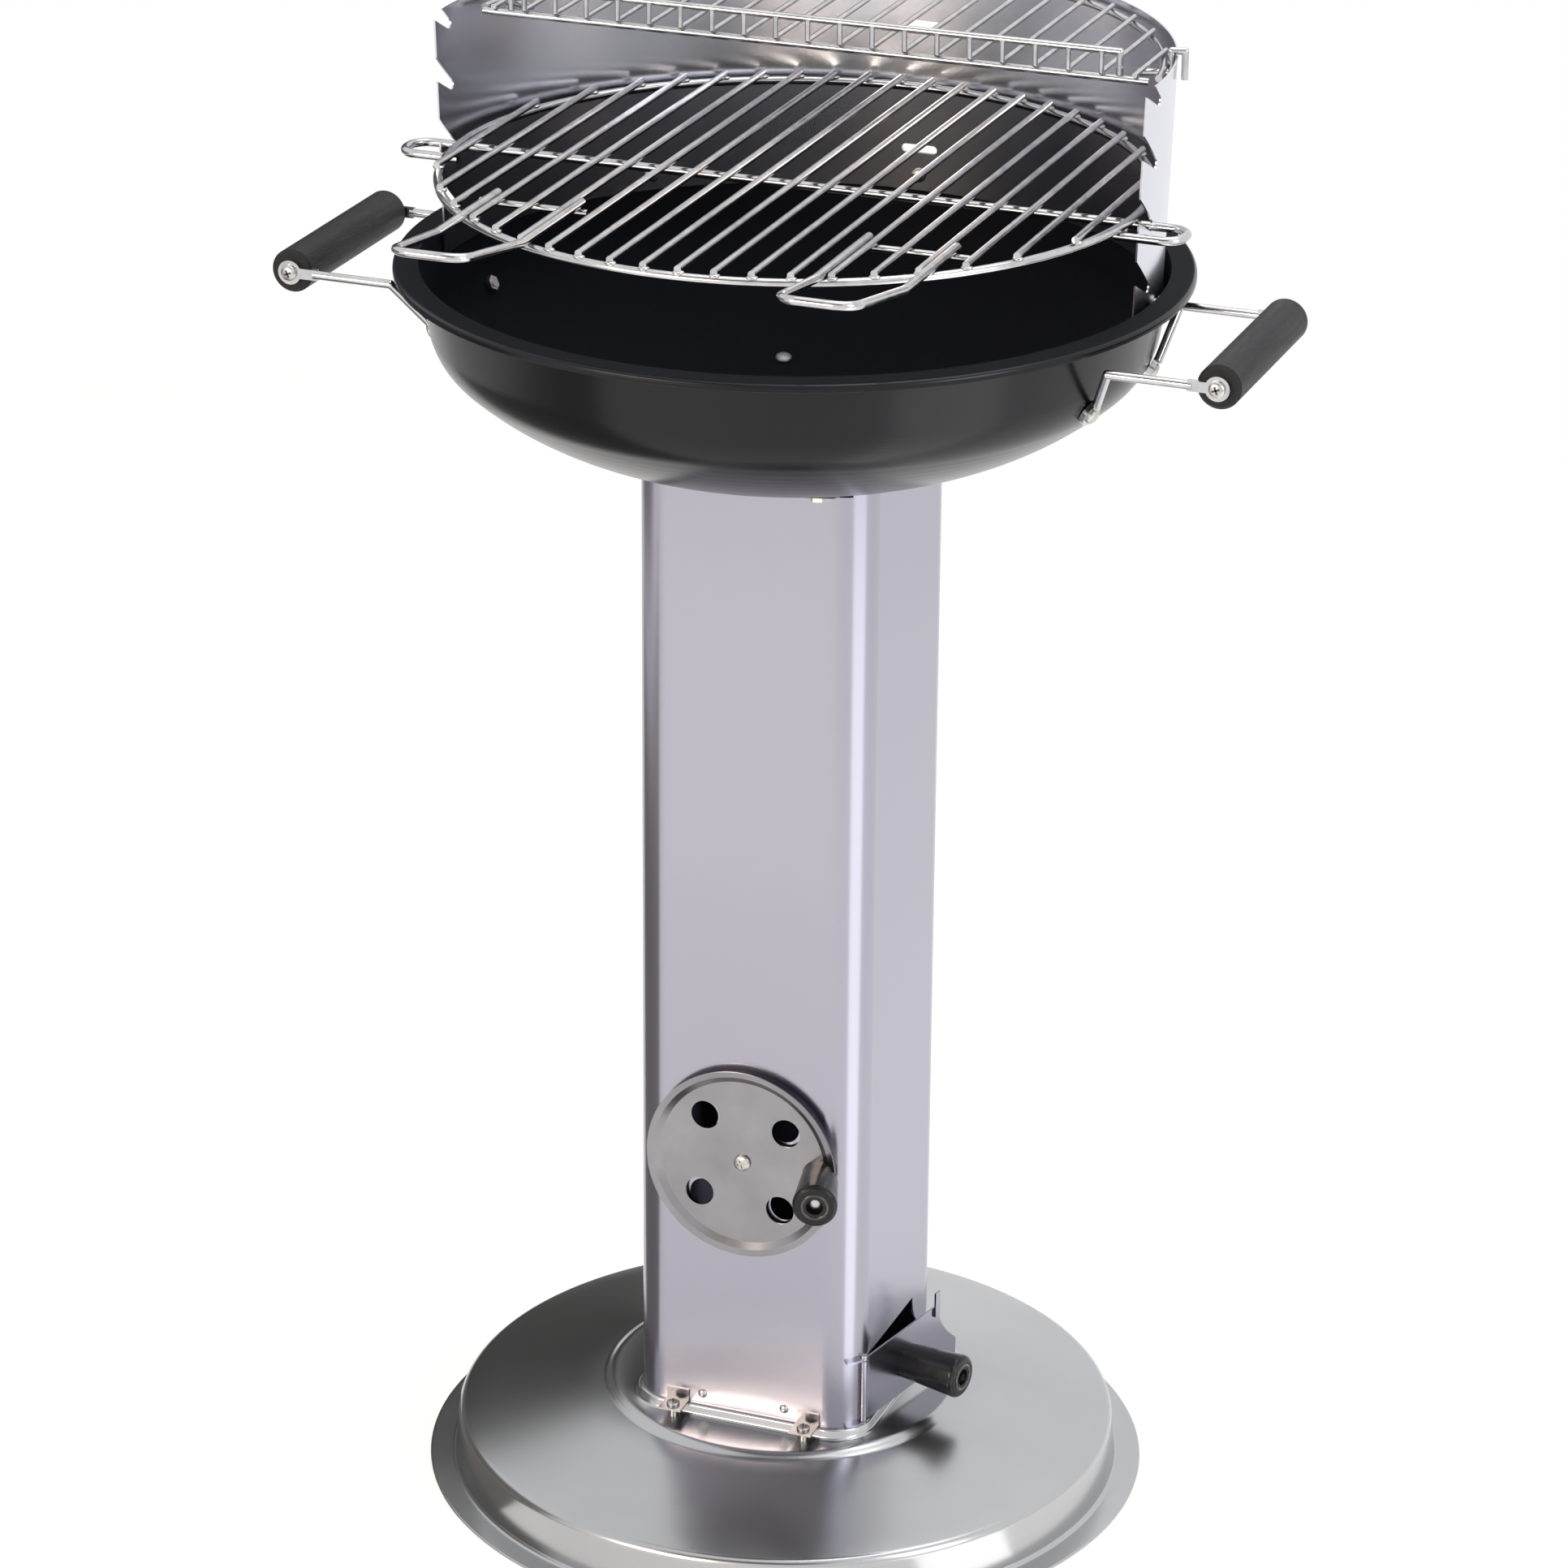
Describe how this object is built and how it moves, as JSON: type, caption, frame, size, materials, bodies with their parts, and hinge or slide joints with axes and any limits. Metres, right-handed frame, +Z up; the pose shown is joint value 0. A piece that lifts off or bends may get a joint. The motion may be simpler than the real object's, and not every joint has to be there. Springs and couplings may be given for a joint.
{
  "type": "pillar charcoal barbecue",
  "caption": "Charcoal barbecue with an enamelled fire bowl on a square draught column and round base, notched wind shield, lift-off grid and warming rack.",
  "frame": {"origin": "centre of the base on the floor", "axes": "+Z up, -Y towards the front with the air disc, +X towards the ash flap"},
  "size_m": [0.571, 0.4855, 0.889],
  "materials": {
    "stainless_steel": "satin rolled stainless steel",
    "shield_steel": "bright rolled stainless steel",
    "black_enamel": "gloss black enamel",
    "dark_steel": "dark sheet steel",
    "grate_steel": "plated steel wire, dulled",
    "fastener_steel": "plated steel",
    "plated_wire": "bright chrome-plated wire",
    "black_wood": "matte black lacquered wood"
  },
  "bodies": {
    "root": {"base_plate": "stainless_steel", "column": "stainless_steel", "seam_strip": "stainless_steel", "seam_rivets": "fastener_steel", "foot_lugs": "stainless_steel", "locating_tabs": "stainless_steel", "foot_screws": "fastener_steel", "foot_nuts": "fastener_steel", "hinge_ears": "stainless_steel", "flap_pin": "fastener_steel", "disc_screw": "fastener_steel", "disc_washer": "fastener_steel", "disc_nut": "fastener_steel", "bowl_brackets": "dark_steel", "bowl": "black_enamel", "bowl_bolts": "fastener_steel", "bowl_nuts": "fastener_steel", "shield_left": "shield_steel", "shield_right": "shield_steel", "shield_bolts": "fastener_steel", "shield_spacers": "fastener_steel", "shield_nuts": "fastener_steel", "grip_left": "black_wood", "grip_right": "black_wood", "handle_wires": "plated_wire", "grip_screws": "fastener_steel", "handle_bolts": "fastener_steel", "handle_nuts": "fastener_steel"},
    "air_disc": {"air_disc": "stainless_steel", "disc_knob": "black_wood", "disc_knob_screw": "fastener_steel"},
    "flap": {"flap": "stainless_steel", "flap_knob": "black_wood", "flap_knob_screw": "fastener_steel"},
    "cooking_grid": {"grid_ring": "plated_wire", "grid_bars": "plated_wire", "grid_cross_wire": "plated_wire", "grid_handle_left": "plated_wire", "grid_handle_right": "plated_wire"},
    "warming_rack": {"rack_front_wire": "plated_wire", "rack_arc_wire": "plated_wire", "rack_bars": "plated_wire", "rack_fence_wire": "plated_wire", "rack_hooks": "plated_wire"},
    "fire_grate": {"fire_grate_ring": "grate_steel", "fire_grate_bars": "grate_steel"}
  },
  "joints": [
    {"name": "disc_turn", "type": "hinge", "parent": "root", "child": "air_disc", "pos_m": [0, -0.0735, 0.225], "axis": [0, -1, 0], "continuous": true},
    {"name": "flap_swing", "type": "hinge", "parent": "root", "child": "flap", "pos_m": [0.07118, -0.05729, 0.08], "axis": [0, 0, -1], "range_deg": [-12, 95]},
    {"name": "grid_lift", "type": "slide", "parent": "root", "child": "cooking_grid", "axis": [0, -0.8387, 0.5446], "range_m": [0, 0.09]},
    {"name": "rack_lift", "type": "slide", "parent": "root", "child": "warming_rack", "axis": [0, 0, 1], "range_m": [0, 0.15]},
    {"name": "grate_lift", "type": "slide", "parent": "root", "child": "fire_grate", "axis": [0, 0, 1], "range_m": [0, 0.1]}
  ]
}
